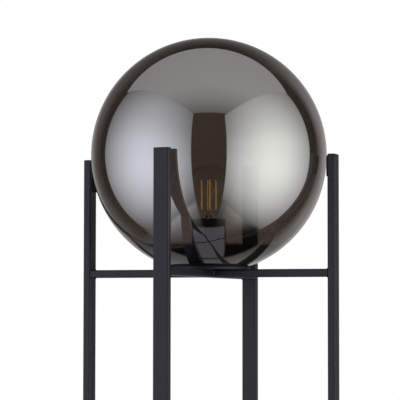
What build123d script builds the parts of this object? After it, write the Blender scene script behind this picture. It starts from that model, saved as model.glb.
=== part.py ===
from build123d import *
import math
import os

os.makedirs("parts", exist_ok=True)

# A floor lamp: a smoked glass globe held among four tube posts. Millimetres, +Z up.
# The origin is on the floor, under the middle of the globe. Every post is drawn on the +X side
# and turned about the lamp's axis into its place.

# Turn of each side of the lamp about the vertical axis, in degrees.
SIDES = {"right": 0.0, "back": 90.0, "left": 180.0, "front": 270.0}

# Rectangular steel tube, the same for the posts and the bars.
TUBE_WIDE = 20.0
TUBE_THIN = 10.0
TUBE_WALL = 1.5
TUBE_CORNER = 2.0  # outer corner radius

# Heights of the frame above the floor.
UPPER_CROSS_TOP = 1205.0
LOWER_CROSS_TOP = 250.0
POST_TOP_DROP = 2.0  # the posts end this far below the middle of the globe

# Globe: a blown sphere with a ground rim at its foot.
GLOBE_DIAMETER = 300.0
GLOBE_WALL = 3.0
MOUTH_DIAMETER = 92.0  # bore inside the rim
RIM_WIDTH = 4.0  # of the ground ring round the mouth, out to the outside of the sphere
RIM_BEVEL = 0.5
POST_GAP = 9.4  # from the glass to the inner face of each post

# End plugs: caps in the tops of the posts, feet in their lower ends.
CAP_FLANGE = 4.0
FOOT_FLANGE = 5.0
CAP_ROUND = 1.2
FOOT_BEVEL = 0.8
PLUG_DEPTH = 14.0
PLUG_WALL = 1.2
PLUG_CORE_GAP = 0.8  # from the core to the bore of the tube
PLUG_RIB_CLEAR = 0.1  # from the ribs' edges to the bore of the tube
PLUG_RIB_THICK = 0.8
PLUG_RIB_PITCH = 3.6
PLUG_RIBS = 3

# Cushion pads, stuck by hand on the posts' inner faces, each at its own height.
PAD_THICK = 2.0
PAD_WIDE = 18.0
PAD_LONG = 26.0
PAD_ROUND = 0.8
PAD_DROP = {"right": 2.3, "back": 9.0, "left": 15.6, "front": 9.0}  # below the post's top

# Seat plate: a pressed disc with a raised middle that keeps the globe central.
PLATE_SHEET = 2.0
PLATE_OVERHANG = 2.0  # past the rim of the globe
PLATE_RISE = 4.0
PLATE_BEND = 1.2
SPIGOT_GAP = 2.0  # from the raised middle to the mouth of the globe
GASKET_THICK = 1.5
GASKET_OVERHANG = 1.0  # past the rim of the globe
GASKET_FIT = 0.3  # round the raised middle

# Hollow threaded nipple with its nuts and washer.
NIPPLE_DIAMETER = 10.0
NIPPLE_BORE = 7.4
NIPPLE_REACH = 3.0  # below the upper face of the cross
NIPPLE_HOLE_GAP = 1.2  # round the nipple in the cross
THREAD_CLEAR = 0.05  # radial, in every hole that the nipple passes
NUT_ACROSS_FLATS = 14.0
WELD_NUT_THICK = 3.2
LOCK_NUT_THICK = 3.0
WASHER_DIAMETER = 17.0
WASHER_THICK = 0.8
WASHER_TEETH = 12
WASHER_NOTCH_WIDE = 1.6
WASHER_NOTCH_DEEP = 1.5

# Cover of the lampholder: a deep drawn cup.
COVER_DIAMETER = 43.0
COVER_HEIGHT = 58.0
COVER_SHEET = 1.0
COVER_BEND = 2.0
COVER_LIP_ROUND = 0.4

# Lampholder inside the cover.
BASE_DIAMETER = 38.0
BASE_WALL = 2.0
BASE_NECK_DIAMETER = 15.0
BASE_NECK_HEIGHT = 4.0
BASE_CONE_HEIGHT = 7.0
BASE_HEIGHT = 20.0
BASE_THREAD_DEPTH = 6.0
BASE_WELL_DIAMETER = 18.0  # the hollow above the thread
CARRIER_HEIGHT = 11.7  # of the carrier's seat above the foot of the base
CARRIER_THICK = 4.0
CARRIER_FIT = 0.2
SKIRT_COLLAR = 3.0
SKIRT_DIAMETER = 34.0
SKIRT_FIT = 0.15
SKIRT_HEIGHT = 27.4  # above the carrier
SKIRT_FLOOR = 2.5  # ledge under the sleeve
SKIRT_FLOOR_BORE = 25.4
SKIRT_LIP = 1.0  # the sleeve ends this far below the mouth
SLEEVE_SHEET = 0.5
SLEEVE_FIT = 0.1
SKIRT_ROUND = 0.8

# Terminal screws, grub screw and centre contact of the lampholder.
SCREW_DIAMETER = 3.0
SCREW_HEAD_DIAMETER = 5.5
SCREW_HEAD_HEIGHT = 2.2
SCREW_LENGTH = 3.2
SCREW_CLEAR = 0.1
SCREW_SLOT = 0.8
TERMINAL_SPACING = 16.0
GRUB_LENGTH = 2.4
GRUB_GAP = 0.3  # from the nipple to the point of the grub screw
GRUB_HEIGHT = 2.0  # above the foot of the base
CONTACT_SHEET = 0.4
CONTACT_WIDE = 5.0
CONTACT_LONG = 12.0
CONTACT_RISE = 1.1  # top of the sprung middle above the carrier
CONTACT_CREST = 3.0  # length of the raised middle
CONTACT_GAP = 0.3  # under the contact tip of the bulb

# Bulb: screw cap and glass.
CAP_DIAMETER = 26.1
CAP_SHEET = 0.5
CAP_CLEAR = 0.3  # round the cap in the threaded sleeve
CAP_TOP = 26.5  # above the contact tip
CAP_FOOT = 6.5
CAP_TAPER = 1.5  # at the foot of the shell
CAP_EYE_DIAMETER = 19.0  # opening of the shell round the insulator
INSULATOR_GAP = 0.1
INSULATOR_TOP = 8.0
TIP_DIAMETER = 9.6
TIP_HEIGHT = 2.5
TIP_ROUND = 1.0
BULB_DIAMETER = 60.0
BULB_LENGTH = 105.0
BULB_WALL = 0.9
NECK_DIAMETER = 24.7
NECK_FOOT = 16.0  # above the contact tip, like the heights below
NECK_TOP = 26.0
THROAT_RADIUS, THROAT_HEIGHT = 14.4, 36.0
SHOULDER_RADIUS, SHOULDER_HEIGHT = 22.3, 52.0

# Bulb: stem, wires and filaments.
STEM_FLARE_FIT = 0.1
STEM_FLARE_THICK = 1.2
STEM_RADIUS = 4.0
STEM_SHOULDER = 38.0
PRESS_RADIUS = 2.6
PRESS_RIM = 1.5  # straight part at the top of the press
PRESS_TOP = 46.8
ROD_RADIUS = 1.1
ROD_TOP = 88.0
FILAMENTS = 4
FILAMENT_TURN = 27.6  # degrees from +X to the first filament
FILAMENT_CIRCLE = 9.2  # radius on which the filaments stand
FILAMENT_RADIUS = 0.9
FILAMENT_LENGTH = 38.0
WIRE_THICK = 0.5
WIRE_WIDE = 0.9
WIRE_RISE = 1.2  # length of the bent end that a filament stands on
RING_WIDTH = 0.7
RING_CLEAR = 0.05

# Cord's way through the frame, with a bush where it leaves the back post.
CORD_HOLE = 6.4
BUSH_HEIGHT = 60.0  # above the floor
BUSH_BORE = 6.5
BUSH_WALL = 1.3
BUSH_FLANGE_WIDE = 2.0  # past the bush's own wall
BUSH_FLANGE_THICK = 1.5
BUSH_LIP_WIDE = 0.7
BUSH_LIP_THICK = 1.0
BUSH_FIT = 0.05

# Places worked out from the sizes above.
flange_top = UPPER_CROSS_TOP + PLATE_SHEET
gasket_top = flange_top + GASKET_THICK
plate_top = flange_top + PLATE_RISE
globe_radius = GLOBE_DIAMETER / 2
rim_radius = MOUTH_DIAMETER / 2 + RIM_WIDTH
rim_drop = math.sqrt(globe_radius**2 - rim_radius**2)
globe_middle = gasket_top + rim_drop
post_top = globe_middle - POST_TOP_DROP
post_face = globe_radius + POST_GAP
post_middle = post_face + TUBE_THIN / 2
post_length = post_top - CAP_FLANGE - FOOT_FLANGE
spigot_radius = MOUTH_DIAMETER / 2 - SPIGOT_GAP
thread_hole_radius = NIPPLE_DIAMETER / 2 + THREAD_CLEAR
washer_foot = plate_top + COVER_SHEET
base_foot = washer_foot + WASHER_THICK + LOCK_NUT_THICK
base_top = base_foot + BASE_HEIGHT
base_bore_radius = BASE_DIAMETER / 2 - BASE_WALL
carrier_foot = base_foot + CARRIER_HEIGHT
carrier_top = carrier_foot + CARRIER_THICK
skirt_top = carrier_top + SKIRT_HEIGHT
sleeve_bore_radius = CAP_DIAMETER / 2 + CAP_CLEAR
sleeve_radius = sleeve_bore_radius + SLEEVE_SHEET
bulb_foot = carrier_top + CONTACT_RISE + CONTACT_GAP
filament_foot = PRESS_TOP + WIRE_RISE  # above the contact tip, like the height below
filament_top = filament_foot + FILAMENT_LENGTH
bush_radius = BUSH_BORE / 2 + BUSH_WALL
tube_bore_thin = TUBE_THIN - 2 * TUBE_WALL
tube_bore_wide = TUBE_WIDE - 2 * TUBE_WALL


def turned(*corners):
    """Spin an outline of (radius, height, rounding) corners about the vertical axis."""
    points = [(radius, height) for radius, height, _ in corners]
    roundings = [rounding for _, _, rounding in corners]
    outline = FilletPolyline(*points, radius=roundings, close=True)
    return revolve(Plane.XZ * make_face(outline), Axis.Z)


def tube_section(wide, high):
    """Section of the rectangular tube, as wide along X and high along Y as asked."""
    bore = Rectangle(wide - 2 * TUBE_WALL, high - 2 * TUBE_WALL)
    return RectangleRounded(wide, high, TUBE_CORNER) - bore


def post(carries_cord):
    """An upright; the one that carries the cord has a hole into the bar and one for the bush."""
    tube = Pos(post_middle, 0, FOOT_FLANGE) * extrude(tube_section(TUBE_THIN, TUBE_WIDE), post_length)
    if not carries_cord:
        return tube
    way_in = Pos(post_face, 0, UPPER_CROSS_TOP - TUBE_THIN / 2) * Rot(0, 90, 0)
    tube -= way_in * Cylinder(CORD_HOLE / 2, 2 * TUBE_WALL)
    way_out = Pos(post_face + TUBE_THIN, 0, BUSH_HEIGHT) * Rot(0, 90, 0)
    return tube - way_out * Cylinder(bush_radius + BUSH_FIT, 2 * TUBE_WALL)


def bar(start, end, top):
    """A flat tube along +X between two distances from the lamp's axis."""
    section = Plane.YZ * tube_section(TUBE_WIDE, TUBE_THIN)
    return Pos(start, 0, top - TUBE_THIN / 2) * extrude(section, end - start)


def upper_through_bar():
    """The upper bar that runs across, with the holes for the nipple and the cord."""
    tube = bar(-post_face, post_face, UPPER_CROSS_TOP)
    nipple_hole = Cylinder(NIPPLE_DIAMETER / 2 + NIPPLE_HOLE_GAP, 2 * TUBE_WALL)
    tube -= Pos(0, 0, UPPER_CROSS_TOP) * nipple_hole
    cord_hole = Rot(90, 0, 0) * Cylinder(CORD_HOLE / 2, 2 * TUBE_WALL)
    return tube - Pos(0, TUBE_WIDE / 2, UPPER_CROSS_TOP - TUBE_THIN / 2) * cord_hole


def plug_head(flange):
    """The part of an end plug that shows, as wide and deep as the tube, on z = 0."""
    return extrude(RectangleRounded(TUBE_THIN, TUBE_WIDE, TUBE_CORNER), flange)


def end_plug(head):
    """A moulded plug: its head stands on z = 0 and its ribbed core hangs below."""
    core_thin = tube_bore_thin - 2 * PLUG_CORE_GAP
    core_wide = tube_bore_wide - 2 * PLUG_CORE_GAP
    plug = head + extrude(Rectangle(core_thin, core_wide), -PLUG_DEPTH)
    rib_thin = tube_bore_thin - 2 * PLUG_RIB_CLEAR
    rib_wide = tube_bore_wide - 2 * PLUG_RIB_CLEAR
    rib = Rectangle(rib_thin, rib_wide)
    for count in range(1, PLUG_RIBS + 1):
        plug += Pos(0, 0, -count * PLUG_RIB_PITCH) * extrude(rib, PLUG_RIB_THICK)
    hollow = Rectangle(core_thin - 2 * PLUG_WALL, core_wide - 2 * PLUG_WALL)
    return plug - Pos(0, 0, -PLUG_DEPTH) * extrude(hollow, PLUG_DEPTH)


def post_cap():
    """The plug in the top end of a post, its upper edge rounded."""
    head = plug_head(CAP_FLANGE)
    head = fillet(head.faces().sort_by(Axis.Z)[-1].edges(), CAP_ROUND)
    return Pos(post_middle, 0, post_top - CAP_FLANGE) * end_plug(head)


def foot():
    """The plug in the lower end of a post, bevelled where it stands on the floor."""
    head = plug_head(FOOT_FLANGE)
    head = chamfer(head.faces().sort_by(Axis.Z)[-1].edges(), FOOT_BEVEL)
    return Pos(post_middle, 0, FOOT_FLANGE) * Rot(180, 0, 0) * end_plug(head)


def pad(drop):
    """A cushion pad with softened edges, its back on the post's inner face."""
    block = Box(PAD_THICK, PAD_WIDE, PAD_LONG, align=(Align.MAX, Align.CENTER, Align.MAX))
    front = block.faces().sort_by(Axis.X)[0]
    return Pos(post_face, 0, post_top - drop) * fillet(front.edges(), PAD_ROUND)


def seat_plate():
    """The pressed disc on the cross, one sheet thick, raised in the middle."""
    edge = rim_radius + PLATE_OVERHANG
    return turned(
        (thread_hole_radius, plate_top - PLATE_SHEET, 0),
        (spigot_radius - PLATE_SHEET, plate_top - PLATE_SHEET, 0),
        (spigot_radius - PLATE_SHEET, UPPER_CROSS_TOP, 0),
        (edge, UPPER_CROSS_TOP, 0),
        (edge, flange_top, 0),
        (spigot_radius, flange_top, 0),
        (spigot_radius, plate_top, PLATE_BEND),
        (thread_hole_radius, plate_top, 0),
    )


def seat_gasket():
    """The flat ring between the flange of the seat plate and the rim of the globe."""
    outer = rim_radius + GASKET_OVERHANG
    inner = spigot_radius + GASKET_FIT
    return turned(
        (inner, flange_top, 0),
        (outer, flange_top, 0),
        (outer, gasket_top, 0),
        (inner, gasket_top, 0),
    )


def globe():
    """The blown sphere, cut flat at its ground rim and bored to its mouth."""
    inner_radius = globe_radius - GLOBE_WALL
    mouth = MOUTH_DIAMETER / 2
    rim_angle = math.degrees(math.atan2(-rim_drop, rim_radius))
    mouth_drop = math.sqrt(inner_radius**2 - mouth**2)
    mouth_angle = math.degrees(math.atan2(-mouth_drop, mouth))
    outside = CenterArc((0, 0), globe_radius, rim_angle, 90 - rim_angle)
    inside = CenterArc((0, 0), inner_radius, mouth_angle, 90 - mouth_angle)
    rim = Polyline((rim_radius, -rim_drop), (mouth, -rim_drop), (mouth, -mouth_drop))
    crown = Line((0, globe_radius), (0, inner_radius))
    shell = revolve(Plane.XZ * make_face(outside + inside + rim + crown), Axis.Z)
    rim_edges = shell.edges().filter_by(GeomType.CIRCLE).group_by(Axis.Z)[0]
    return Pos(0, 0, globe_middle) * chamfer(rim_edges, RIM_BEVEL)


def hex_nut(thick):
    """A thin hexagon nut on z = 0, bored to pass over the nipple."""
    hexagon = RegularPolygon(NUT_ACROSS_FLATS / 2, 6, major_radius=False)
    return extrude(hexagon - Circle(thread_hole_radius), thick)


def weld_nut():
    """The nut under the raised middle of the seat plate."""
    return Pos(0, 0, plate_top - PLATE_SHEET - WELD_NUT_THICK) * hex_nut(WELD_NUT_THICK)


def lock_nut():
    """The nut that clamps the cover of the lampholder to the seat plate."""
    return Pos(0, 0, washer_foot + WASHER_THICK) * hex_nut(LOCK_NUT_THICK)


def nipple():
    """The hollow threaded tube that carries the lampholder and passes the cord."""
    top = base_foot + BASE_THREAD_DEPTH
    foot_height = UPPER_CROSS_TOP - NIPPLE_REACH
    return turned(
        (NIPPLE_BORE / 2, foot_height, 0),
        (NIPPLE_DIAMETER / 2, foot_height, 0),
        (NIPPLE_DIAMETER / 2, top, 0),
        (NIPPLE_BORE / 2, top, 0),
    )


def toothed_washer():
    """The lock washer, notched all round into teeth."""
    ring = extrude(Circle(WASHER_DIAMETER / 2) - Circle(thread_hole_radius), WASHER_THICK)
    notch_middle = (WASHER_DIAMETER - WASHER_NOTCH_DEEP) / 2
    notch = Box(WASHER_NOTCH_DEEP, WASHER_NOTCH_WIDE, 3 * WASHER_THICK)
    for tooth in range(WASHER_TEETH):
        ring -= Rot(0, 0, tooth * 360 / WASHER_TEETH) * Pos(notch_middle, 0, 0) * notch
    return Pos(0, 0, washer_foot) * ring


def holder_cover():
    """The drawn cup that hides the lampholder, with a softened lip."""
    outer = COVER_DIAMETER / 2
    inner = outer - COVER_SHEET
    top = plate_top + COVER_HEIGHT
    return turned(
        (thread_hole_radius, plate_top, 0),
        (outer, plate_top, COVER_BEND),
        (outer, top, COVER_LIP_ROUND),
        (inner, top, 0),
        (inner, washer_foot, COVER_BEND - COVER_SHEET),
        (thread_hole_radius, washer_foot, 0),
    )


def holder_base():
    """The lower half of the lampholder: a threaded neck that flares into a cup."""
    neck = BASE_NECK_DIAMETER / 2
    outer = BASE_DIAMETER / 2
    flare_foot = base_foot + BASE_NECK_HEIGHT
    well_foot = base_foot + BASE_THREAD_DEPTH
    ledge = base_bore_radius - BASE_WALL
    body = turned(
        (thread_hole_radius, base_foot, 0),
        (neck, base_foot, 0),
        (neck, flare_foot, 0),
        (outer, flare_foot + BASE_CONE_HEIGHT, 0),
        (outer, base_top, 0),
        (base_bore_radius, base_top, 0),
        (base_bore_radius, carrier_foot, 0),
        (ledge, carrier_foot, 0),
        (BASE_WELL_DIAMETER / 2, well_foot, 0),
        (thread_hole_radius, well_foot, 0),
    )
    grub_hole = Rot(0, 90, 0) * Cylinder(
        SCREW_DIAMETER / 2 + SCREW_CLEAR,
        BASE_NECK_DIAMETER,
        align=(Align.CENTER, Align.CENTER, Align.MIN),
    )
    return body - Pos(0, 0, base_foot + GRUB_HEIGHT) * grub_hole


def grub_screw():
    """The slotted screw in the neck that stops the lampholder turning on the nipple."""
    start = NIPPLE_DIAMETER / 2 + GRUB_GAP
    screw = Cylinder(SCREW_DIAMETER / 2, GRUB_LENGTH, align=(Align.CENTER, Align.CENTER, Align.MIN))
    slot = Pos(0, 0, GRUB_LENGTH) * Box(SCREW_DIAMETER, SCREW_SLOT, SCREW_SLOT)
    return Pos(start, 0, base_foot + GRUB_HEIGHT) * Rot(0, 90, 0) * (screw - slot)


def terminal_places():
    """Where the two terminal screws stand."""
    return [Pos(side * TERMINAL_SPACING / 2, 0, carrier_foot) for side in (-1, 1)]


def contact_carrier():
    """The insulating disc that holds the contacts."""
    disc = extrude(Circle(base_bore_radius - CARRIER_FIT), CARRIER_THICK)
    disc = Pos(0, 0, carrier_foot) * disc
    for place in terminal_places():
        disc -= place * Cylinder(SCREW_DIAMETER / 2 + SCREW_CLEAR, 2 * CARRIER_THICK)
    return disc


def terminal_screws():
    """Two slotted screws whose heads hold the wires under the carrier."""
    shank = extrude(Circle(SCREW_DIAMETER / 2), SCREW_LENGTH)
    head = extrude(Circle(SCREW_HEAD_DIAMETER / 2), -SCREW_HEAD_HEIGHT)
    slot = Pos(0, 0, -SCREW_HEAD_HEIGHT) * Box(SCREW_HEAD_DIAMETER, SCREW_SLOT, SCREW_SLOT)
    screw = shank + head - slot
    return Compound([place * screw for place in terminal_places()])


def centre_contact():
    """The sprung brass strip under the bulb, cranked up in the middle."""
    half = CONTACT_LONG / 2
    crest = CONTACT_CREST / 2
    rise = CONTACT_RISE - CONTACT_SHEET
    slope_end = (half + crest) / 2
    lower = [(-half, 0), (-slope_end, 0), (-crest, rise), (crest, rise), (slope_end, 0), (half, 0)]
    upper = [(x, z + CONTACT_SHEET) for x, z in reversed(lower)]
    side_view = make_face(Polyline(*lower, *upper, close=True))
    strip = extrude(Plane.XZ * side_view, CONTACT_WIDE / 2, both=True)
    return Pos(0, 0, carrier_top) * strip


def holder_skirt():
    """The upper half of the lampholder, screwed into the base down onto the carrier."""
    spigot = base_bore_radius - SKIRT_FIT
    collar = BASE_DIAMETER / 2
    barrel = SKIRT_DIAMETER / 2
    bore = sleeve_radius + SLEEVE_FIT
    floor_bore = SKIRT_FLOOR_BORE / 2
    return turned(
        (floor_bore, carrier_top, 0),
        (spigot, carrier_top, 0),
        (spigot, base_top, 0),
        (collar, base_top, 0),
        (collar, base_top + SKIRT_COLLAR, 0),
        (barrel, base_top + SKIRT_COLLAR, 0),
        (barrel, skirt_top, SKIRT_ROUND),
        (bore, skirt_top, 0),
        (bore, carrier_top + SKIRT_FLOOR, 0),
        (floor_bore, carrier_top + SKIRT_FLOOR, 0),
    )


def threaded_sleeve():
    """The brass sleeve in the skirt that takes the bulb's screw cap."""
    foot_height = carrier_top + SKIRT_FLOOR
    top = skirt_top - SKIRT_LIP
    return turned(
        (sleeve_bore_radius, foot_height, 0),
        (sleeve_radius, foot_height, 0),
        (sleeve_radius, top, 0),
        (sleeve_bore_radius, top, 0),
    )


def bulb_cap():
    """The screw shell of the bulb, open at the top, tapered to an eye for the insulator."""
    outer = CAP_DIAMETER / 2
    inner = outer - CAP_SHEET
    eye = CAP_EYE_DIAMETER / 2
    return turned(
        (eye, CAP_FOOT, 0),
        (outer - CAP_TAPER, CAP_FOOT, 0),
        (outer, CAP_FOOT + CAP_TAPER, 0),
        (outer, CAP_TOP, 0),
        (inner, CAP_TOP, 0),
        (inner, CAP_FOOT + CAP_TAPER, 0),
        (outer - CAP_TAPER, CAP_FOOT + CAP_SHEET, 0),
        (eye, CAP_FOOT + CAP_SHEET, 0),
    )


def bulb_insulator():
    """The dark glass cone between the shell and the contact tip."""
    tip = TIP_DIAMETER / 2
    top = CAP_EYE_DIAMETER / 2 - INSULATOR_GAP
    return turned(
        (0, TIP_HEIGHT, 0),
        (tip, TIP_HEIGHT, 0),
        (top, CAP_FOOT, 0),
        (top, INSULATOR_TOP, 0),
        (0, INSULATOR_TOP, 0),
    )


def contact_tip():
    """The soldered contact at the foot of the bulb."""
    tip = TIP_DIAMETER / 2
    return turned((0, 0, 0), (tip, 0, TIP_ROUND), (tip, TIP_HEIGHT, 0), (0, TIP_HEIGHT, 0))


def bulb_form(inset):
    """The bulb's glass form, drawn in by inset: neck, drawn-out shoulder and round crown."""
    neck = NECK_DIAMETER / 2 - inset
    crown = BULB_DIAMETER / 2 - inset
    crown_height = BULB_LENGTH - BULB_DIAMETER / 2
    shoulder = Spline(
        (neck, NECK_TOP),
        (THROAT_RADIUS - inset, THROAT_HEIGHT),
        (SHOULDER_RADIUS - inset, SHOULDER_HEIGHT),
        (crown, crown_height),
        tangents=[(0, 1), (0, 1)],
    )
    dome = CenterArc((0, crown_height), crown, 0, 90)
    rest = Polyline((0, crown_height + crown), (0, NECK_FOOT), (neck, NECK_FOOT), (neck, NECK_TOP))
    return revolve(Plane.XZ * make_face(shoulder + dome + rest), Axis.Z)


def bulb_glass():
    """The clear envelope of the bulb, open at the neck."""
    return bulb_form(0) - bulb_form(BULB_WALL)


def bulb_stem():
    """The glass stem: a flare in the neck, a tube, the pinched press and the rod above it."""
    flare = NECK_DIAMETER / 2 - BULB_WALL - STEM_FLARE_FIT
    flare_top = NECK_FOOT + STEM_FLARE_THICK
    return turned(
        (0, NECK_FOOT, 0),
        (flare, NECK_FOOT, 0),
        (flare, flare_top, 0),
        (STEM_RADIUS, flare_top, 0),
        (STEM_RADIUS, STEM_SHOULDER, 0),
        (PRESS_RADIUS, PRESS_TOP - PRESS_RIM, 0),
        (PRESS_RADIUS, PRESS_TOP, 0),
        (ROD_RADIUS, PRESS_TOP, 0),
        (ROD_RADIUS, ROD_TOP, 0),
        (0, ROD_TOP, 0),
    )


def filament_turns():
    """The direction of each filament from the bulb's axis."""
    return [Rot(0, 0, FILAMENT_TURN + count * 360 / FILAMENTS) for count in range(FILAMENTS)]


def filaments():
    """The upright filaments, evenly spaced round the rod."""
    stick = Pos(FILAMENT_CIRCLE, 0, filament_foot) * extrude(Circle(FILAMENT_RADIUS), FILAMENT_LENGTH)
    return Compound([turn * stick for turn in filament_turns()])


def wire_spider():
    """A flat ring round the rod with an arm to each filament, its end bent up to meet it."""
    bore = ROD_RADIUS + RING_CLEAR
    spider = extrude(Circle(bore + RING_WIDTH) - Circle(bore), WIRE_THICK)
    start = bore + RING_WIDTH / 2
    placed = (Align.MIN, Align.CENTER, Align.MIN)
    arm = Pos(start, 0, 0) * Box(FILAMENT_CIRCLE - start, WIRE_WIDE, WIRE_THICK, align=placed)
    end = Pos(FILAMENT_CIRCLE, 0, 0) * Box(WIRE_THICK, WIRE_WIDE, WIRE_RISE, align=placed)
    for turn in filament_turns():
        spider += turn * (arm + end)
    return spider


def support_wires():
    """The wires that stand the filaments on the press and hold their tops to the rod."""
    lower = Pos(0, 0, PRESS_TOP) * wire_spider()
    upper = Pos(0, 0, filament_top + WIRE_RISE) * mirror(wire_spider(), about=Plane.XY)
    return Compound([lower, upper])


def cord_bush():
    """The soft bush in the back post that the cord leaves through."""
    outer = bush_radius
    bore = BUSH_BORE / 2
    flange = outer + BUSH_FLANGE_WIDE
    lip = outer + BUSH_LIP_WIDE
    bush = turned(
        (bore, -TUBE_WALL - BUSH_LIP_THICK, 0),
        (lip, -TUBE_WALL - BUSH_LIP_THICK, 0),
        (lip, -TUBE_WALL, 0),
        (outer, -TUBE_WALL, 0),
        (outer, 0, 0),
        (flange, 0, 0),
        (flange, BUSH_FLANGE_THICK, BUSH_FLANGE_THICK / 2),
        (bore, BUSH_FLANGE_THICK, 0),
    )
    return Pos(post_face + TUBE_THIN, 0, BUSH_HEIGHT) * Rot(0, 90, 0) * bush


def lamp():
    """Every piece of the lamp in its place, by name."""
    pieces = {}
    for side, angle in SIDES.items():
        turn = Rot(0, 0, angle)
        pieces[f"post_{side}"] = turn * post(carries_cord=side == "back")
        pieces[f"post_cap_{side}"] = turn * post_cap()
        pieces[f"foot_{side}"] = turn * foot()
        pieces[f"pad_{side}"] = turn * pad(PAD_DROP[side])
    pieces["upper_through_bar"] = upper_through_bar()
    pieces["lower_through_bar"] = bar(-post_face, post_face, LOWER_CROSS_TOP)
    for side in ("front", "back"):
        turn = Rot(0, 0, SIDES[side])
        pieces[f"upper_half_bar_{side}"] = turn * bar(TUBE_WIDE / 2, post_face, UPPER_CROSS_TOP)
        pieces[f"lower_half_bar_{side}"] = turn * bar(TUBE_WIDE / 2, post_face, LOWER_CROSS_TOP)
    pieces["cord_bush"] = Rot(0, 0, SIDES["back"]) * cord_bush()
    pieces["seat_plate"] = seat_plate()
    pieces["seat_gasket"] = seat_gasket()
    pieces["globe_shade"] = globe()
    pieces["weld_nut"] = weld_nut()
    pieces["nipple"] = nipple()
    pieces["toothed_washer"] = toothed_washer()
    pieces["lock_nut"] = lock_nut()
    pieces["holder_cover"] = holder_cover()
    pieces["holder_base"] = holder_base()
    pieces["grub_screw"] = grub_screw()
    pieces["contact_carrier"] = contact_carrier()
    pieces["terminal_screws"] = terminal_screws()
    pieces["centre_contact"] = centre_contact()
    pieces["holder_skirt"] = holder_skirt()
    pieces["threaded_sleeve"] = threaded_sleeve()
    seated = Pos(0, 0, bulb_foot)
    pieces["bulb_contact_tip"] = seated * contact_tip()
    pieces["bulb_insulator"] = seated * bulb_insulator()
    pieces["bulb_cap"] = seated * bulb_cap()
    pieces["bulb_glass"] = seated * bulb_glass()
    pieces["bulb_stem"] = seated * bulb_stem()
    pieces["bulb_filaments"] = seated * filaments()
    pieces["bulb_wires"] = seated * support_wires()
    return pieces


for name, piece in lamp().items():
    export_step(piece, f"parts/{name}.step")
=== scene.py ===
import bmesh
import bpy
import math
from mathutils import Matrix, Vector


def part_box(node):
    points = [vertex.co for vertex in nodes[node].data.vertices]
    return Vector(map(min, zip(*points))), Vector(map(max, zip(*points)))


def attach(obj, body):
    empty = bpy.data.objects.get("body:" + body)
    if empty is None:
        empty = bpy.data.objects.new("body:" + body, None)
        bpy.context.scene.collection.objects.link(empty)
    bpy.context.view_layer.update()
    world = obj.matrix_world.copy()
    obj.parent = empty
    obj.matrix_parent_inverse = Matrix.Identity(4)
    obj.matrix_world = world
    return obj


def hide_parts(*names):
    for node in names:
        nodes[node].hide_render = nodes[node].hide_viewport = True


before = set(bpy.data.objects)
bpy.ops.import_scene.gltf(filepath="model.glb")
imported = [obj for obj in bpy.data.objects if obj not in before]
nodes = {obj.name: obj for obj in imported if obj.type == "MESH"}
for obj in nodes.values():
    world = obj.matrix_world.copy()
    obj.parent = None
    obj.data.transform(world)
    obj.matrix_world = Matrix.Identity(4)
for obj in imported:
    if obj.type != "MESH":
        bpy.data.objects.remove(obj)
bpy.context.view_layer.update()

# ---------------------------------------------------------------------------------------------
# Posts. Four lengths of rectangular steel tube, sprayed with black powder paint and baked: a
# satin skin with a very fine orange peel that shows only where light grazes it.
# ---------------------------------------------------------------------------------------------
PAINT_BLACK = (0.0195, 0.0145, 0.0275, 1)
PAINT_BLACK_WORN = (0.024, 0.0185, 0.0315, 1)
PEEL_GRAINS = 900  # to the metre
PEEL_DEPTH = 0.00003
PAINT_CLOUDS = 22  # to the metre


def node(tree, kind, inputs=None, **settings):
    """A new shader node; inputs are plain values, or sockets to link from."""
    made = tree.nodes.new(kind)
    for name, value in settings.items():
        setattr(made, name, value)
    for socket, value in (inputs or {}).items():
        if isinstance(value, bpy.types.NodeSocket):
            tree.links.new(value, made.inputs[socket])
        else:
            made.inputs[socket].default_value = value
    return made


def finish_called(name):
    """A material with nothing in it, as (material, tree, its output's surface socket)."""
    material = bpy.data.materials.new(name)
    material.use_nodes = True
    tree = material.node_tree
    tree.nodes.clear()
    output = tree.nodes.new("ShaderNodeOutputMaterial")
    return material, tree, output.inputs["Surface"]


def speckle(tree, per_metre, detail=2.0):
    """Noise fixed to the piece, so many grains to the metre."""
    place = node(tree, "ShaderNodeTexCoord").outputs["Object"]
    return node(tree, "ShaderNodeTexNoise", {"Vector": place, "Scale": per_metre, "Detail": detail})


def ranged(tree, value, low, high, start=0.3, end=0.7):
    """A noise value carried over to the range low..high."""
    sockets = {"Value": value, "From Min": start, "From Max": end, "To Min": low, "To Max": high}
    return node(tree, "ShaderNodeMapRange", sockets).outputs["Result"]


def bumped(tree, height, distance, strength=1.0):
    """Surface normals raised by a height, in metres at full height."""
    sockets = {"Height": height, "Distance": distance, "Strength": strength}
    return node(tree, "ShaderNodeBump", sockets).outputs["Normal"]


def blended(tree, share, first, second):
    """A colour between two, by a share that varies over the surface."""
    mix = node(tree, "ShaderNodeMix", data_type="RGBA")
    tree.links.new(share, mix.inputs["Factor"])
    mix.inputs["A"].default_value = first
    mix.inputs["B"].default_value = second
    return mix.outputs["Result"]


def powder_paint():
    """Black powder paint with its orange peel."""
    material, tree, surface = finish_called("black_powder_paint")
    peel = speckle(tree, PEEL_GRAINS, 1.5).outputs["Fac"]
    cloud = speckle(tree, PAINT_CLOUDS, 3.0).outputs["Fac"]
    skin = {
        "Base Color": blended(tree, ranged(tree, cloud, 0, 1), PAINT_BLACK, PAINT_BLACK_WORN),
        "Roughness": ranged(tree, cloud, 0.36, 0.46),
        "IOR": 1.5,
        "Normal": bumped(tree, peel, PEEL_DEPTH, 0.3),
    }
    paint = node(tree, "ShaderNodeBsdfPrincipled", skin)
    tree.links.new(paint.outputs[0], surface)
    return material


def dress(material, *names):
    """Give each of these pieces of the frame a finish."""
    for name in names:
        nodes[name].material_slots[0].material = material


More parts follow.
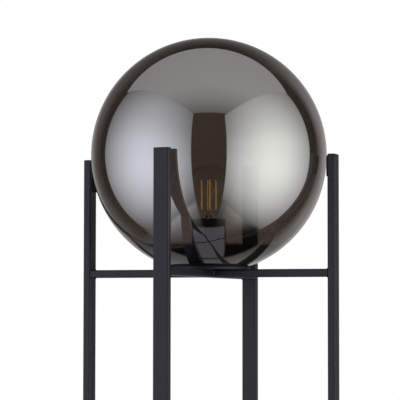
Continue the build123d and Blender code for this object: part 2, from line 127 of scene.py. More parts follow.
SIDES = ("front", "left", "right", "back")
paint = powder_paint()
dress(paint, *[f"post_{side}" for side in SIDES])

# ---------------------------------------------------------------------------------------------
# Caps and feet. Ribbed plugs moulded in black plastic and pushed into both ends of each post;
# the caps are satin, the feet a little rougher from the floor.
# ---------------------------------------------------------------------------------------------
CAP_BLACK = (0.012, 0.011, 0.013, 1)
CAP_BLACK_PALE = (0.018, 0.017, 0.018, 1)
SPARK_GRAINS = 1800  # to the metre
SPARK_DEPTH = 0.00003
PLASTIC_CLOUDS = 60  # to the metre


def moulded_plastic(name, low_roughness, high_roughness):
    """Black plastic out of a finely sparked mould."""
    material, tree, surface = finish_called(name)
    spark = speckle(tree, SPARK_GRAINS, 2.0).outputs["Fac"]
    cloud = speckle(tree, PLASTIC_CLOUDS, 3.0).outputs["Fac"]
    skin = {
        "Base Color": blended(tree, ranged(tree, cloud, 0, 1), CAP_BLACK, CAP_BLACK_PALE),
        "Roughness": ranged(tree, cloud, low_roughness, high_roughness),
        "IOR": 1.5,
        "Normal": bumped(tree, spark, SPARK_DEPTH, 0.6),
    }
    plastic = node(tree, "ShaderNodeBsdfPrincipled", skin)
    tree.links.new(plastic.outputs[0], surface)
    return material


dress(moulded_plastic("cap_plastic", 0.34, 0.44), *[f"post_cap_{side}" for side in SIDES])
dress(moulded_plastic("foot_plastic", 0.5, 0.65), *[f"foot_{side}" for side in SIDES])

# ---------------------------------------------------------------------------------------------
# Cushion pads. Die-cut pads of closed-cell foam rubber, stuck to the posts' inner faces so that
# the globe can't knock against steel.
# ---------------------------------------------------------------------------------------------
FOAM_BLACK = (0.014, 0.0135, 0.014, 1)
FOAM_GREY = (0.03, 0.029, 0.029, 1)
FOAM_CELLS = 2200  # to the metre
FOAM_CELL_DEPTH = 0.0001
FOAM_CLOUDS = 300  # to the metre


def foam_rubber():
    """Matt foam with its fine open skin."""
    material, tree, surface = finish_called("foam_rubber")
    place = node(tree, "ShaderNodeTexCoord").outputs["Object"]
    cells = node(tree, "ShaderNodeTexVoronoi", {"Vector": place, "Scale": FOAM_CELLS}).outputs["Distance"]
    cloud = speckle(tree, FOAM_CLOUDS, 3.0).outputs["Fac"]
    skin = {
        "Base Color": blended(tree, ranged(tree, cloud, 0, 1), FOAM_BLACK, FOAM_GREY),
        "Roughness": ranged(tree, cloud, 0.8, 0.92),
        "IOR": 1.4,
        "Normal": bumped(tree, cells, FOAM_CELL_DEPTH, 0.5),
    }
    foam = node(tree, "ShaderNodeBsdfPrincipled", skin)
    tree.links.new(foam.outputs[0], surface)
    return material


UP = Vector((0, 0, 1))
OUTWARD = {
    "front": Vector((0, -1, 0)),
    "left": Vector((-1, 0, 0)),
    "right": Vector((1, 0, 0)),
    "back": Vector((0, 1, 0)),
}
PAD_STEPS = 12  # steps along each side of a pad
PAD_DEPTHS = (0.0, 0.3, 0.62, 0.85, 1.0)  # levels from the post out to the edge of the crown
PAD_ROUNDING = 0.07  # share by which it narrows over the outer half of its depth
PAD_CORNER_START = 0.9  # place along a side where its corner starts to turn
PAD_CORNER_WIDE = 0.6  # how fast the corners turn in, across and up the pad
PAD_CORNER_TALL = 0.42
PAD_CROWN = 0.3  # share of its thickness by which a pad falls from its middle to its edge
PAD_CROWN_RINGS = (0.8, 0.55, 0.28)  # rings of the crown, as shares of its edge
PAD_WAIST = 0.0004  # how far its sides draw in between the corners
PAD_WAIST_AHEAD = 0.2  # share of the depth by which that is nearer the post than halfway
SHARP_EDGE = 40.0  # degrees from which an edge is drawn sharp


def piece(name, mesh, material, body):
    """A finished mesh as an object that rides on a body of the frame."""
    bmesh.ops.recalc_face_normals(mesh, faces=mesh.faces)
    data = bpy.data.meshes.new(name)
    mesh.to_mesh(data)
    mesh.free()
    made = bpy.data.objects.new(name, data)
    bpy.context.scene.collection.objects.link(made)
    data.materials.append(material)
    for face in data.polygons:
        face.use_smooth = True
    data.set_sharp_from_angle(angle=math.radians(SHARP_EDGE))
    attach(made, body)
    return made


def band(mesh, ring, following):
    """A band of faces between two closed rings of as many corners."""
    count = len(ring)
    for corner in range(count):
        beside = (corner + 1) % count
        mesh.faces.new((ring[corner], ring[beside], following[beside], following[corner]))


def pad_outline(depth, half_wide, half_tall):
    """Corners round a pad at one depth, as (across, up) from its middle."""
    narrowed = 1 - PAD_ROUNDING * max(0.0, (depth - 0.5) / 0.5) ** 2
    waisted = PAD_WAIST * math.sin(math.pi * min(1.0, depth + PAD_WAIST_AHEAD))
    outline = []
    for step in range(4 * PAD_STEPS):
        side, part = divmod(step, PAD_STEPS)
        run = part / PAD_STEPS * 2 - 1
        x, y = ((run, -1), (1, run), (-run, 1), (-1, -run))[side]
        waist = waisted * (1 - run ** 2)
        corner = max(0.0, abs(run) - PAD_CORNER_START)
        wide = half_wide * narrowed
        tall = half_tall * narrowed
        if side in (1, 3):
            wide -= waist + half_wide * corner * PAD_CORNER_WIDE
        else:
            tall -= waist + half_tall * corner * PAD_CORNER_TALL
        outline.append((x * wide, y * tall))
    return outline


def cushion_pad(low, high, outward):
    """A foam pad that fills a box: flat on the post, crowned to the globe, drawn in at its sides."""
    mesh = bmesh.new()
    across = UP.cross(outward)
    half = (high - low) / 2
    half_wide = abs(half.dot(across))
    thick = 2 * abs(half.dot(outward))
    back_middle = (low + high) / 2 + outward * thick / 2
    crown_middle = back_middle - outward * thick
    rings = []
    for depth in PAD_DEPTHS:
        out = thick * (depth - PAD_CROWN * depth ** 3)
        rings.append([
            mesh.verts.new(back_middle - outward * out + across * x + UP * y)
            for x, y in pad_outline(depth, half_wide, half.z)])
    for share in PAD_CROWN_RINGS:
        fall = thick * PAD_CROWN * share ** 2
        rings.append([
            mesh.verts.new(crown_middle + outward * fall + (across * x + UP * y) * share)
            for x, y in pad_outline(PAD_DEPTHS[-1], half_wide, half.z)])
    mesh.faces.new(rings[0])
    for ring, following in zip(rings, rings[1:]):
        band(mesh, ring, following)
    tip = mesh.verts.new(crown_middle)
    innermost = rings[-1]
    for corner in range(len(innermost)):
        mesh.faces.new((innermost[corner], innermost[(corner + 1) % len(innermost)], tip))
    return mesh


foam = foam_rubber()
for side in SIDES:
    low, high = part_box(f"pad_{side}")
    made = piece(f"foam_pad_{side}", cushion_pad(low, high, OUTWARD[side]), foam, "frame")
    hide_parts(f"pad_{side}")

# ---------------------------------------------------------------------------------------------
# Crosses. One bar runs through and two half bars are welded to its sides; the bars' ends are
# welded to the posts. The beads are small, and all of it is painted with the posts.
# ---------------------------------------------------------------------------------------------
LEVELS = ("upper", "lower")
dress(paint, *[f"{level}_through_bar" for level in LEVELS])
dress(paint, *[f"{level}_half_bar_{end}" for level in LEVELS for end in ("front", "back")])

BEAD_LEG = 0.0024  # how far a weld bead reaches along each of the faces that it joins
BEAD_STEPS = 28  # cross sections along a bead
BEAD_RIPPLE = 0.12  # share of the leg by which the ripples swell
BEAD_RIPPLE_TURN = 2.1  # radians of a ripple from one cross section to the next
BEAD_ARC = 5  # facets over its hollow face
BEAD_END = 0.35  # share of the leg at each end, from where the bead swells
BEAD_SWELL = 4  # how fast it swells to its full leg


def bead(mesh, start, end, first_face, second_face):
    """A weld fillet from start to end, in the corner between two faces, drawn in and rippled."""
    rings = []
    for step in range(BEAD_STEPS + 1):
        share = step / BEAD_STEPS
        taper = min(1.0, BEAD_END + BEAD_SWELL * min(share, 1 - share))
        leg = BEAD_LEG * taper * (1 + BEAD_RIPPLE * math.sin(step * BEAD_RIPPLE_TURN))
        middle = start.lerp(end, share)
        hollow = middle + (first_face + second_face) * leg
        ring = [mesh.verts.new(middle)]
        for part in range(BEAD_ARC + 1):
            turn = math.radians(90) * part / BEAD_ARC
            ring.append(mesh.verts.new(
                hollow - first_face * leg * math.sin(turn) - second_face * leg * math.cos(turn)))
        rings.append(ring)
    for ring, following in zip(rings, rings[1:]):
        band(mesh, ring, following)
    mesh.faces.new(rings[0])
    mesh.faces.new(rings[-1][::-1])


for level in LEVELS:
    low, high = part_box(f"{level}_through_bar")
    wide = high.y
    reach = high.x
    welds = bmesh.new()
    for quarter in range(4):
        turned = Matrix.Rotation(math.radians(90 * quarter), 3, "Z")
        inward = turned @ Vector((-1, 0, 0))
        across = turned @ Vector((0, 1, 0))
        end_middle = turned @ Vector((reach, 0, 0))
        for height, facing in ((high.z, UP), (low.z, -UP)):
            edge = end_middle + UP * height
            bead(welds, edge - across * wide, edge + across * wide, inward, facing)
    for side_y in (-1, 1):
        for side_x in (-1, 1):
            foot = Vector((side_x * wide, side_y * wide, low.z))
            top = foot + UP * (high.z - low.z)
            bead(welds, foot, top, Vector((side_x, 0, 0)), Vector((0, side_y, 0)))
    piece(f"{level}_cross_welds", welds, paint, "frame")

# ---------------------------------------------------------------------------------------------
# Seat. A pressed steel disc, painted like the frame, with a flat rubber ring on its flange for
# the globe's rim to stand on.
# ---------------------------------------------------------------------------------------------
RUBBER_BLACK = (0.009, 0.009, 0.009, 1)
RUBBER_GREY = (0.017, 0.017, 0.017, 1)
RUBBER_CLOUDS = 240  # to the metre
RUBBER_DEPTH = 0.00005


def rubber(name):
    """Matt moulded rubber."""
    material, tree, surface = finish_called(name)
    cloud = speckle(tree, RUBBER_CLOUDS, 4.0).outputs["Fac"]
    skin = {
        "Base Color": blended(tree, ranged(tree, cloud, 0, 1), RUBBER_BLACK, RUBBER_GREY),
        "Roughness": ranged(tree, cloud, 0.6, 0.75),
        "IOR": 1.48,
        "Normal": bumped(tree, cloud, RUBBER_DEPTH, 0.5),
    }
    made = node(tree, "ShaderNodeBsdfPrincipled", skin)
    tree.links.new(made.outputs[0], surface)
    return material


dress(paint, "seat_plate")
black_rubber = rubber("gasket_rubber")
dress(black_rubber, "seat_gasket", "cord_bush")

# ---------------------------------------------------------------------------------------------
# Nipple, nuts, washer and screws. Small steel parts, turned or stamped, bright zinc plated.
# ---------------------------------------------------------------------------------------------
ZINC_PALE = (0.6, 0.61, 0.6, 1)
ZINC_BLUE = (0.47, 0.49, 0.52, 1)
PLATING_CLOUDS = 420  # to the metre
PLATING_DEPTH = 0.00002


def plated(name, pale, deep, low_roughness, high_roughness):
    """Bright plating with a faint cloud in it."""
    material, tree, surface = finish_called(name)
    cloud = speckle(tree, PLATING_CLOUDS, 4.0).outputs["Fac"]
    skin = {
        "Base Color": blended(tree, ranged(tree, cloud, 0, 1), pale, deep),
        "Metallic": 1.0,
        "Roughness": ranged(tree, cloud, low_roughness, high_roughness),
        "Normal": bumped(tree, cloud, PLATING_DEPTH, 0.3),
    }
    metal = node(tree, "ShaderNodeBsdfPrincipled", skin)
    tree.links.new(metal.outputs[0], surface)
    return material


zinc = plated("bright_zinc", ZINC_PALE, ZINC_BLUE, 0.25, 0.4)
dress(zinc, "weld_nut", "nipple", "toothed_washer", "lock_nut", "grub_screw", "terminal_screws")

# ---------------------------------------------------------------------------------------------
# Lampholder. A moulded base and skirt around an unglazed ceramic carrier with its brass contact
# and threaded sleeve, all under a drawn steel cover in the frame's own paint.
# ---------------------------------------------------------------------------------------------
CERAMIC_WHITE = (0.78, 0.76, 0.7, 1)
CERAMIC_GREY = (0.66, 0.63, 0.57, 1)
CERAMIC_GRAINS = 700  # to the metre
CERAMIC_DEPTH = 0.00004
BRASS_PALE = (0.8, 0.6, 0.3, 1)
BRASS_DEEP = (0.66, 0.46, 0.2, 1)


def ceramic():
    """Unglazed white ceramic."""
    material, tree, surface = finish_called("carrier_ceramic")
    grain = speckle(tree, CERAMIC_GRAINS, 4.0).outputs["Fac"]
    skin = {
        "Base Color": blended(tree, ranged(tree, grain, 0, 1), CERAMIC_WHITE, CERAMIC_GREY),
        "Roughness": ranged(tree, grain, 0.6, 0.8),
        "Normal": bumped(tree, grain, CERAMIC_DEPTH, 0.5),
    }
    made = node(tree, "ShaderNodeBsdfPrincipled", skin)
    tree.links.new(made.outputs[0], surface)
    return material


dress(paint, "holder_cover")
dress(moulded_plastic("holder_plastic", 0.3, 0.42), "holder_base", "holder_skirt")
dress(ceramic(), "contact_carrier")
dress(plated("sheet_brass", BRASS_PALE, BRASS_DEEP, 0.22, 0.36), "centre_contact", "threaded_sleeve")

# ---------------------------------------------------------------------------------------------
# Bulb. A clear blown glass with a nickel screw cap, its thread rolled into the sheet, a pressed
# glass insulator and a blob of solder for a contact. Inside, a glass stem carries two flat wires
# and four amber filaments.
# ---------------------------------------------------------------------------------------------
NICKEL_PALE = (0.72, 0.69, 0.64, 1)
NICKEL_DEEP = (0.6, 0.57, 0.52, 1)
AMBER = (0.85, 0.42, 0.09, 1)
AMBER_PALE = (0.95, 0.6, 0.2, 1)
AMBER_PAINTED_GLOW = 0.8  # painted glow: light of its own given to the coat, so that it reads through the smoked globe
AMBER_GRAINS = 1500  # to the metre
AMBER_DEPTH = 0.00004
BULB_CLEAR = (0.97, 0.98, 0.97, 1)
STEM_CLEAR = (0.95, 0.97, 0.96, 1)
GLASS_RIPPLES = 30  # to the metre
GLASS_RIPPLE_DEPTH = 0.0003


def clear_glass(name, tint, roughness):
    """Clear blown glass."""
    material, tree, surface = finish_called(name)
    glass = node(tree, "ShaderNodeBsdfPrincipled", {
        "Base Color": tint,
        "Roughness": roughness,
        "IOR": 1.5,
        "Transmission Weight": 1.0,
    })
    ripple = speckle(tree, GLASS_RIPPLES, 1.0).outputs["Fac"]
    tree.links.new(bumped(tree, ripple, GLASS_RIPPLE_DEPTH, 0.15), glass.inputs["Normal"])
    tree.links.new(glass.outputs[0], surface)
    return material


def amber_coat():
    """The soft yellow coat over a filament's row of chips, with a painted glow."""
    material, tree, surface = finish_called("amber_phosphor")
    grain = speckle(tree, AMBER_GRAINS, 3.0).outputs["Fac"]
    skin = {
        "Base Color": blended(tree, ranged(tree, grain, 0, 1), AMBER, AMBER_PALE),
        "Roughness": ranged(tree, grain, 0.5, 0.7),
        "Normal": bumped(tree, grain, AMBER_DEPTH, 0.5),
        # the emission is a painted glow on the coat
        "Emission Color": AMBER_PALE,
        "Emission Strength": AMBER_PAINTED_GLOW,
    }
    coat = node(tree, "ShaderNodeBsdfPrincipled", skin)
    tree.links.new(coat.outputs[0], surface)
    return material


nickel = plated("nickel_plate", NICKEL_PALE, NICKEL_DEEP, 0.14, 0.26)
THREAD_PITCH = 0.003629
THREAD_DEPTH = 0.0007
THREAD_RUN_OUT = THREAD_PITCH / 2  # height over which the thread fades at each of its ends
CAP_SHEET = 0.0005
CAP_FOOT_TAPER = 0.0015
CAP_COLLAR = 0.003  # plain part of the cap above its thread
CAP_EYE_RADIUS = 0.0095  # of the hole in its foot
CAP_STEPS_UP = 84
CAP_STEPS_ROUND = 96


def thread_depth(above_foot, below_top, turn):
    """Depth of the rolled thread at a place on the cap, between its foot and top."""
    fade = min(1.0, max(0.0, below_top / THREAD_RUN_OUT))
    fade *= min(1.0, max(0.0, above_foot / THREAD_RUN_OUT))
    wave = 0.5 - 0.5 * math.cos(2 * math.pi * above_foot / THREAD_PITCH - turn)
    return THREAD_DEPTH * wave * fade


def threaded_cap(low, high):
    """A sheet nickel shell with a rolled thread, open at the glass and at its foot."""
    mesh = bmesh.new()
    radius = (high.x - low.x) / 2
    foot = low.z + CAP_FOOT_TAPER
    top = high.z - CAP_COLLAR
    turns = [2 * math.pi * step / CAP_STEPS_ROUND for step in range(CAP_STEPS_ROUND)]
    skins = []
    for inset in (0, CAP_SHEET):
        skin = []
        for reach in (CAP_EYE_RADIUS, radius - CAP_FOOT_TAPER):
            skin.append([
                mesh.verts.new((reach * math.cos(turn), reach * math.sin(turn), low.z + inset))
                for turn in turns])
        for step in range(CAP_STEPS_UP + 1):
            height = foot + (high.z - foot) * step / CAP_STEPS_UP
            ring = []
            for turn in turns:
                reach = radius - inset - thread_depth(height - foot, top - height, turn)
                ring.append(mesh.verts.new((reach * math.cos(turn), reach * math.sin(turn), height)))
            skin.append(ring)
        for ring, following in zip(skin, skin[1:]):
            band(mesh, ring, following)
        skins.append(skin)
    for end in (0, -1):
        band(mesh, skins[0][end], skins[1][end])
    return mesh


cap_low, cap_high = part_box("bulb_cap")
made = piece("threaded_cap", threaded_cap(cap_low, cap_high), nickel, "bulb")
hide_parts("bulb_cap")
dress(plated("solder", ZINC_PALE, ZINC_BLUE, 0.35, 0.5), "bulb_contact_tip")
dress(moulded_plastic("insulator_glass", 0.08, 0.14), "bulb_insulator")
dress(clear_glass("bulb_glass_clear", BULB_CLEAR, 0.0), "bulb_glass")
dress(clear_glass("stem_glass_clear", STEM_CLEAR, 0.02), "bulb_stem")
dress(amber_coat(), "bulb_filaments")
dress(plated("drawn_wire", ZINC_PALE, ZINC_BLUE, 0.3, 0.4), "bulb_wires")

# ---------------------------------------------------------------------------------------------
# Globe. Blown glass with a thin smoked metal film on its outside, part mirror and part window.
# It stands on the rubber ring by its ground rim and is held among the posts by nothing else.
# ---------------------------------------------------------------------------------------------
GLASS_WALL = 0.003
FILM_FACING = 0.535  # share of light that the film sends back, seen straight on
FILM_GRAZING = 0.86  # the same at the edge of the globe
SMOKE = (0.405, 0.34, 0.305, 1)  # colour of what the film lets through
SMOKE_LOW = (0.465, 0.395, 0.355, 1)  # the same in the lower part, where the film is thinner
FILM_SILVER = (0.97, 0.965, 0.96, 1)
FILM_BACK = (0.06, 0.055, 0.05, 1)  # its inner side is dark
FILM_GATHERING = 3.0  # how closely its mirror gathers at the edge of the globe
SMOKE_DEEP_FROM = -0.1  # heights on the globe, in radii above its middle
SMOKE_THIN_FROM = -0.5
SOLID_EDGE = -0.75  # the film closes up below this height, and is solid from the next one down
SOLID_FROM = -0.78
GLASS_SILVER = (0.5, 0.49, 0.48, 1)
SHEEN_FACING = 0.03  # share of light that the bare inside of the glass sends back, straight on
SHEEN_GRAZING = 0.15
CLEAR = (1, 1, 1, 1)
globe_low, globe_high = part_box("globe_shade")
GLOBE_RADIUS = (globe_high.x - globe_low.x) / 2
GLOBE_MIDDLE = Vector((0, 0, globe_high.z - GLOBE_RADIUS))


def smoked_mirror():
    """Smoked mirror film on the outside of clear glass, laid on solid round the mouth."""
    material, tree, surface = finish_called("smoked_mirror_glass")
    place = node(tree, "ShaderNodeTexCoord").outputs["Object"]
    facing = node(tree, "ShaderNodeLayerWeight", {"Blend": 0.5}).outputs["Facing"]
    edge = node(tree, "ShaderNodeMath", {0: facing, 1: FILM_GATHERING}, operation="POWER").outputs["Value"]
    height = node(tree, "ShaderNodeSeparateXYZ", {0: place}).outputs["Z"]

    thin_from = GLOBE_MIDDLE.z + SMOKE_THIN_FROM * GLOBE_RADIUS
    deep_from = GLOBE_MIDDLE.z + SMOKE_DEEP_FROM * GLOBE_RADIUS
    smoke_tint = blended(tree, ranged(tree, height, 0, 1, thin_from, deep_from), SMOKE_LOW, SMOKE)
    solid_from = GLOBE_MIDDLE.z + SOLID_FROM * GLOBE_RADIUS
    solid_edge = GLOBE_MIDDLE.z + SOLID_EDGE * GLOBE_RADIUS
    open_share = ranged(tree, height, 0, 1, solid_from, solid_edge)
    darkened = node(tree, "ShaderNodeVectorMath", {0: smoke_tint, "Scale": open_share}, operation="SCALE")
    smoke = node(tree, "ShaderNodeBsdfTransparent", {"Color": darkened.outputs["Vector"]})

    from_inside = node(tree, "ShaderNodeNewGeometry").outputs["Backfacing"]
    silver = blended(tree, from_inside, FILM_SILVER, FILM_BACK)
    mirror = node(tree, "ShaderNodeBsdfAnisotropic", {"Color": silver, "Roughness": 0.0})
    mirror_share = ranged(tree, edge, FILM_FACING, FILM_GRAZING, 0.0, 1.0)
    film = node(tree, "ShaderNodeMixShader", {0: mirror_share, 1: smoke.outputs[0], 2: mirror.outputs[0]})

    window = node(tree, "ShaderNodeBsdfTransparent", {"Color": CLEAR})
    sheen = node(tree, "ShaderNodeBsdfAnisotropic", {"Color": GLASS_SILVER, "Roughness": 0.0})
    sheen_share = ranged(tree, edge, SHEEN_FACING, SHEEN_GRAZING, 0.0, 1.0)
    bare = node(tree, "ShaderNodeMixShader", {0: sheen_share, 1: window.outputs[0], 2: sheen.outputs[0]})

    from_middle = node(tree, "ShaderNodeVectorMath", {0: place, 1: GLOBE_MIDDLE}, operation="DISTANCE")
    wall_middle = GLOBE_RADIUS - GLASS_WALL / 2
    outside = node(tree, "ShaderNodeMath", {
        0: from_middle.outputs["Value"], 1: wall_middle}, operation="GREATER_THAN")
    wall = node(tree, "ShaderNodeMixShader", {
        0: outside.outputs["Value"], 1: bare.outputs[0], 2: film.outputs[0]})
    tree.links.new(wall.outputs[0], surface)
    return material


dress(smoked_mirror(), "globe_shade")

# ---------------------------------------------------------------------------------------------
# Studio. A pale floor, a white backdrop, and a tent of two soft walls with a dimmer roof. The
# tent is open behind the camera, and stands as the world around the lamp.
# ---------------------------------------------------------------------------------------------
CAMERA_TURN = 19.827  # degrees of the camera's place from -Y towards +X
towards = Vector((math.sin(math.radians(CAMERA_TURN)), -math.cos(math.radians(CAMERA_TURN)), 0))
rightwards = UP.cross(towards)

world = bpy.data.worlds.new("soft_tent")
bpy.context.scene.world = world
world.use_nodes = True
sky = world.node_tree
sky.nodes.clear()
looked = node(sky, "ShaderNodeTexCoord").outputs["Generated"]


def arithmetic(kind, *values):
    """One sum of shader values."""
    return node(sky, "ShaderNodeMath", dict(enumerate(values)), operation=kind).outputs["Value"]


def product(*values):
    """Shader values multiplied together."""
    total = values[0]
    for value in values[1:]:
        total = arithmetic("MULTIPLY", total, value)
    return total


def along(axis):
    """How far the direction looked in runs along an axis."""
    return node(sky, "ShaderNodeVectorMath", {0: looked, 1: axis}, operation="DOT_PRODUCT").outputs["Value"]


def over(value, limit, soft):
    """1 where a value is over a limit, 0 below it, with a soft edge."""
    return ranged(sky, value, 0, 1, limit - soft, limit + soft)


def under(value, limit, soft):
    """1 where a value is under a limit."""
    return ranged(sky, value, 1, 0, limit - soft, limit + soft)


def graded(value, *stops):
    """A value carried over to levels by straight runs between stops."""
    first, last = stops[0][0], stops[-1][0]
    ramp = node(sky, "ShaderNodeValToRGB", {"Fac": ranged(sky, value, 0, 1, first, last)})
    elements = ramp.color_ramp.elements
    elements.remove(elements[1])
    for number, (place, level) in enumerate(stops):
        share = (place - first) / (last - first)
        element = elements[0] if number == 0 else elements.new(share)
        element.position = share
        element.color = (level, level, level, 1)
    return ramp.outputs["Color"]


def lit(share, colour):
    """A colour of light, scaled by a share."""
    return node(sky, "ShaderNodeVectorMath", {0: colour, "Scale": share}, operation="SCALE").outputs["Vector"]


height = along(UP)
forward = along(towards)
right = along(rightwards)
beside = arithmetic("ABSOLUTE", right)

# The two soft walls: where each stands, and how its light falls off up, down and along it.
WALL_TURN = 69.0  # degrees from the camera's direction to the middle of each wall
WALL_NEAR = -1.28  # its ends, foot and top, as multiples of its distance
WALL_FAR = {"left": 1.25, "right": 1.02}
WALL_FOOT = -1.71
WALL_FOOT_FADE = 0.12  # how far its foot is softened
WALL_TOP = {"left": 1.18, "right": 1.1}
WALL_LIGHT = {"left": (1.15, 1.2, 1.33), "right": (1.52, 1.55, 1.5)}
WALL_UP_AND_DOWN = (
    (-1.71, 0.5), (-1.45, 0.7), (-1.2, 0.87), (-0.84, 1), (-0.36, 1), (-0.18, 0.97),
    (0, 0.89), (0.18, 0.85), (0.36, 0.76), (0.6, 0.71), (1.2, 0.74))
WALL_ALONG = (
    (-1.28, 0.9), (-0.8, 1), (-0.16, 1), (0.19, 0.93), (0.38, 0.87), (0.6, 0.81),
    (0.87, 0.76), (1.25, 0.66))
CRISP = 0.012  # how far the edges of the tent's lights are softened, from crisp to faded
FIRM = 0.02
SOFT = 0.06
FADED = 0.1
TINY = 0.001  # keeps what is divided by above nothing
lights = []
walls = {}
above = {}
for side, hand in (("left", -1), ("right", 1)):
    turn = math.radians(WALL_TURN)
    square_on = towards * math.cos(turn) + rightwards * hand * math.sin(turn)
    sideways = -towards * math.sin(turn) + rightwards * hand * math.cos(turn)
    facing = arithmetic("MAXIMUM", along(square_on), TINY)
    across = arithmetic("DIVIDE", along(sideways), facing)
    up = arithmetic("DIVIDE", height, facing)
    above[side] = over(up, WALL_TOP[side], CRISP)
    walls[side] = product(
        over(across, WALL_NEAR, FIRM),
        under(across, WALL_FAR[side], FIRM),
        over(up, WALL_FOOT, WALL_FOOT_FADE),
        under(up, WALL_TOP[side], CRISP))
    brightness = product(
        walls[side], facing, facing, graded(up, *WALL_UP_AND_DOWN), graded(across, *WALL_ALONG))
    lights.append(lit(brightness, WALL_LIGHT[side]))

# The roof, dimmer towards the camera and towards the left. Places on it run forwards and to the
# right from straight above the lamp.
ROOF_LIGHT = (0.378, 0.383, 0.385)
ROOF_HEIGHT = 1.2
ROOF_BACK = -0.81
ROOF_BACK_LEAN = -0.1  # how much its back edge comes forward towards the right
ROOF_FRONT = 1.57
ROOF_DEPTHS = (
    (-0.85, 0.84), (-0.3, 0.94), (0.2, 1), (0.5, 1), (0.85, 0.81), (1.02, 0.7), (1.22, 0.54),
    (1.57, 0.33))
ROOF_SIDES = (0.93, 1.06)  # shares of its light far to the left and far to the right
overhead = arithmetic("MAXIMUM", height, TINY)
roof_depth = product(arithmetic("DIVIDE", forward, overhead), ROOF_HEIGHT)
roof_across = product(arithmetic("DIVIDE", right, overhead), ROOF_HEIGHT)
roof = product(
    over(arithmetic("ADD", roof_depth, product(roof_across, ROOF_BACK_LEAN)), ROOF_BACK, FIRM),
    under(roof_depth, ROOF_FRONT, FIRM),
    above["left"],
    above["right"])
roof_glow = product(roof, graded(roof_depth, *ROOF_DEPTHS), ranged(sky, right, *ROOF_SIDES, -1, 1))
lights.append(lit(roof_glow, ROOF_LIGHT))

# The backdrop straight behind the lamp: a small bright middle in a wide soft glow.
BACKDROP_MIDDLE = (0.31, 0.3, 0.29)
MIDDLE_REACH = -0.8  # the middle runs out here, from -1 straight behind the lamp
MIDDLE_FLATNESS = 0.6  # how much sooner it runs out up and down
MIDDLE_FALL = 1.3
BACKDROP_WIDE = (0.165, 0.158, 0.152)
BACKDROP_ACROSS = ((0.7, 1), (0.95, 0.5), (1.25, 0))
BACKDROP_UP_AND_DOWN = ((0.3, 1), (0.5, 0.6), (0.62, 0.3), (0.78, 0))
BACKDROP_SIDES = (0.5, 1.5)  # shares of its light at its left and right ends
BACKDROP_END = 0.625
BACKDROP_LIMIT = -0.3  # none of it comes further forward than this
flattened = arithmetic("ADD", forward, product(height, height, MIDDLE_FLATNESS))
middle_glow = arithmetic("POWER", ranged(sky, flattened, 1, 0, -1.0, MIDDLE_REACH), MIDDLE_FALL)
lights.append(lit(middle_glow, BACKDROP_MIDDLE))
behind = arithmetic("MAXIMUM", product(forward, -1), TINY)
across_backdrop = arithmetic("ABSOLUTE", arithmetic("DIVIDE", right, behind))
wide_glow = product(
    graded(across_backdrop, *BACKDROP_ACROSS),
    graded(arithmetic("ABSOLUTE", height), *BACKDROP_UP_AND_DOWN),
    ranged(sky, right, *BACKDROP_SIDES, -BACKDROP_END, BACKDROP_END),
    under(forward, BACKDROP_LIMIT, FADED))
lights.append(lit(wide_glow, BACKDROP_WIDE))

# The tent's own dark floor: a lit strip under the lamp, light spilled from each wall, and the
# backdrop's foot. Places on it are multiples of its depth below the globe.
STRIP_LIGHT = (0.106, 0.092, 0.103)
STRIP_HALF = 0.197
STRIP_FLARE = 0.075  # how much wider it gets towards the camera
STRIP_BACK = -0.62
STRIP_FRONT = 0.22
STRIP_TOP = -0.2  # directions lower than this one look down on it
down = arithmetic("MAXIMUM", product(height, -1), TINY)
floor_right = arithmetic("DIVIDE", right, down)
floor_front = arithmetic("DIVIDE", forward, down)
off_middle = arithmetic("ABSOLUTE", floor_right)
strip = product(
    under(arithmetic("SUBTRACT", off_middle, product(floor_front, STRIP_FLARE)), STRIP_HALF, CRISP),
    over(floor_front, STRIP_BACK, FIRM),
    under(floor_front, STRIP_FRONT, FIRM),
    under(height, STRIP_TOP, FADED))
lights.append(lit(strip, STRIP_LIGHT))

SPILL_LIGHT = {"left": (0.36, 0.38, 0.4), "right": (0.27, 0.28, 0.275)}
SPILL_TURN = {"left": -65.0, "right": 55.0}
SPILL_GROWTH = {"left": 2.2, "right": 2.9}
SPILL_NARROW = {"left": 3.0, "right": 8.5}
SPILL_FULL = 0.577  # reach at which its light has the strength given
SPILL_FURTHEST = 1.2  # reach from which it grows no more
SPILL_TOP = -0.74
SPILL_GAP = 0.306  # half width of the tent's open front, as a share of its distance
across_floor = product(off_middle, off_middle)
along_floor = product(floor_front, floor_front)
reach = arithmetic("SQRT", arithmetic("ADD", across_floor, along_floor))
growing = arithmetic("DIVIDE", arithmetic("MINIMUM", reach, SPILL_FURTHEST), SPILL_FULL)
clear_of_walls = arithmetic("SUBTRACT", arithmetic("SUBTRACT", 1.0, walls["left"]), walls["right"])
low_enough = under(height, SPILL_TOP, SOFT)
beyond_gap = over(arithmetic("SUBTRACT", beside, product(forward, SPILL_GAP)), 0.0, FIRM)
for side in ("left", "right"):
    turn = math.radians(SPILL_TURN[side])
    pointing = arithmetic(
        "ADD", product(floor_right, math.sin(turn)), product(floor_front, math.cos(turn)))
    pointing = arithmetic("MAXIMUM", arithmetic("DIVIDE", pointing, reach), 0.0)
    spill = product(
        arithmetic("POWER", pointing, SPILL_NARROW[side]),
        arithmetic("POWER", growing, SPILL_GROWTH[side]),
        clear_of_walls,
        low_enough,
        beyond_gap)
    lights.append(lit(spill, SPILL_LIGHT[side]))

FOOT_LIGHT = (0.115, 0.11, 0.105)
FOOT_FRONT = -0.68
FOOT_HALF = 0.6
FOOT_FADE = 0.3  # how far its ends are softened
FOOT_TOP = -0.1
foot_glow = product(
    under(floor_front, FOOT_FRONT, SOFT),
    under(off_middle, FOOT_HALF, FOOT_FADE),
    under(height, FOOT_TOP, FADED))
lights.append(lit(foot_glow, FOOT_LIGHT))

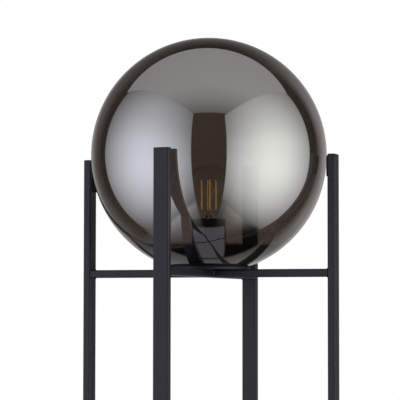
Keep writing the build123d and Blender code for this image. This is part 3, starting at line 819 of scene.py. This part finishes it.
# A faint gloom fills what the lights leave dark. The camera sees white in place of the tent, also
# through glass, and only reflections and the light on the lamp come from the tent.
GLOOM = (0.005, 0.0045, 0.004)
tent = node(sky, "ShaderNodeCombineXYZ", dict(enumerate(GLOOM))).outputs["Vector"]
for light in lights:
    tent = node(sky, "ShaderNodeVectorMath", {0: tent, 1: light}, operation="ADD").outputs["Vector"]
ray = node(sky, "ShaderNodeLightPath")
seen_white = arithmetic("MAXIMUM", ray.outputs["Is Camera Ray"], ray.outputs["Is Transmission Ray"])
tent_light = node(sky, "ShaderNodeBackground", {"Color": tent, "Strength": 1.0})
white = node(sky, "ShaderNodeBackground", {"Color": CLEAR, "Strength": 1.0})
seen = node(sky, "ShaderNodeMixShader", {0: seen_white, 1: tent_light.outputs[0], 2: white.outputs[0]})
node(sky, "ShaderNodeOutputWorld", {"Surface": seen.outputs[0]})

# The floor that the camera sees: pale cloth that carries the lamp's shadow and runs out to white.
FLOOR_RADIUS = 0.9
FLOOR_PALE = (0.82, 0.82, 0.815, 1)
FLOOR_GLOW = 0.62  # share of the studio's white that the floor shows even under the lamp
FLOOR_FADE_FROM = 0.3 * FLOOR_RADIUS  # distances between which it runs out to white
FLOOR_FADE_TO = 0.97 * FLOOR_RADIUS


def pale_floor():
    """Pale seamless floor, open to every ray but the camera's."""
    material, tree, surface = finish_called("pale_floor")
    place = node(tree, "ShaderNodeTexCoord").outputs["Object"]
    from_lamp = node(tree, "ShaderNodeVectorMath", {0: place}, operation="LENGTH").outputs["Value"]
    whitened = ranged(tree, from_lamp, FLOOR_GLOW, 1, FLOOR_FADE_FROM, FLOOR_FADE_TO)
    cloth = node(tree, "ShaderNodeBsdfDiffuse", {"Color": FLOOR_PALE})
    shining = node(tree, "ShaderNodeEmission", {"Color": CLEAR, "Strength": 1.0})
    mixed = node(tree, "ShaderNodeMixShader", {0: whitened, 1: cloth.outputs[0], 2: shining.outputs[0]})
    passing = node(tree, "ShaderNodeBsdfTransparent", {"Color": CLEAR})
    camera_ray = node(tree, "ShaderNodeLightPath").outputs["Is Camera Ray"]
    shown = node(tree, "ShaderNodeMixShader", {0: camera_ray, 1: passing.outputs[0], 2: mixed.outputs[0]})
    tree.links.new(shown.outputs[0], surface)
    return material


ground = bmesh.new()
bmesh.ops.create_circle(ground, cap_ends=True, segments=96, radius=FLOOR_RADIUS)
floor_data = bpy.data.meshes.new("floor")
ground.to_mesh(floor_data)
ground.free()
floor = bpy.data.objects.new("floor", floor_data)
bpy.context.scene.collection.objects.link(floor)
floor_data.materials.append(pale_floor())

# The camera stands before the lamp, a little to its right and below the middle of the globe.
CAMERA_REACH = 2.50061  # metres from the globe, along the floor
CAMERA_DROP = 0.19591  # metres below the middle of the globe
CAMERA_PAN = -0.258  # degrees that it looks aside, up and tipped over
CAMERA_RISE = 3.192
CAMERA_ROLL = 0.067
FOCAL_PIXELS = 1967.46
IMAGE_PIXELS = 400
SENSOR = 36.0  # millimetres
lens = bpy.data.cameras.new("camera")
lens.sensor_width = SENSOR
lens.lens = FOCAL_PIXELS / IMAGE_PIXELS * SENSOR
camera = bpy.data.objects.new("camera", lens)
bpy.context.scene.collection.objects.link(camera)
bpy.context.scene.camera = camera
camera.location = GLOBE_MIDDLE + towards * CAMERA_REACH - UP * CAMERA_DROP
heading = math.radians(CAMERA_TURN - CAMERA_PAN)
tilt = math.radians(90 + CAMERA_RISE)
camera.rotation_euler = (
    Matrix.Rotation(heading, 3, "Z") @ Matrix.Rotation(tilt, 3, "X")
    @ Matrix.Rotation(math.radians(CAMERA_ROLL), 3, "Z")).to_euler()

bpy.context.scene.view_settings.view_transform = "Standard"
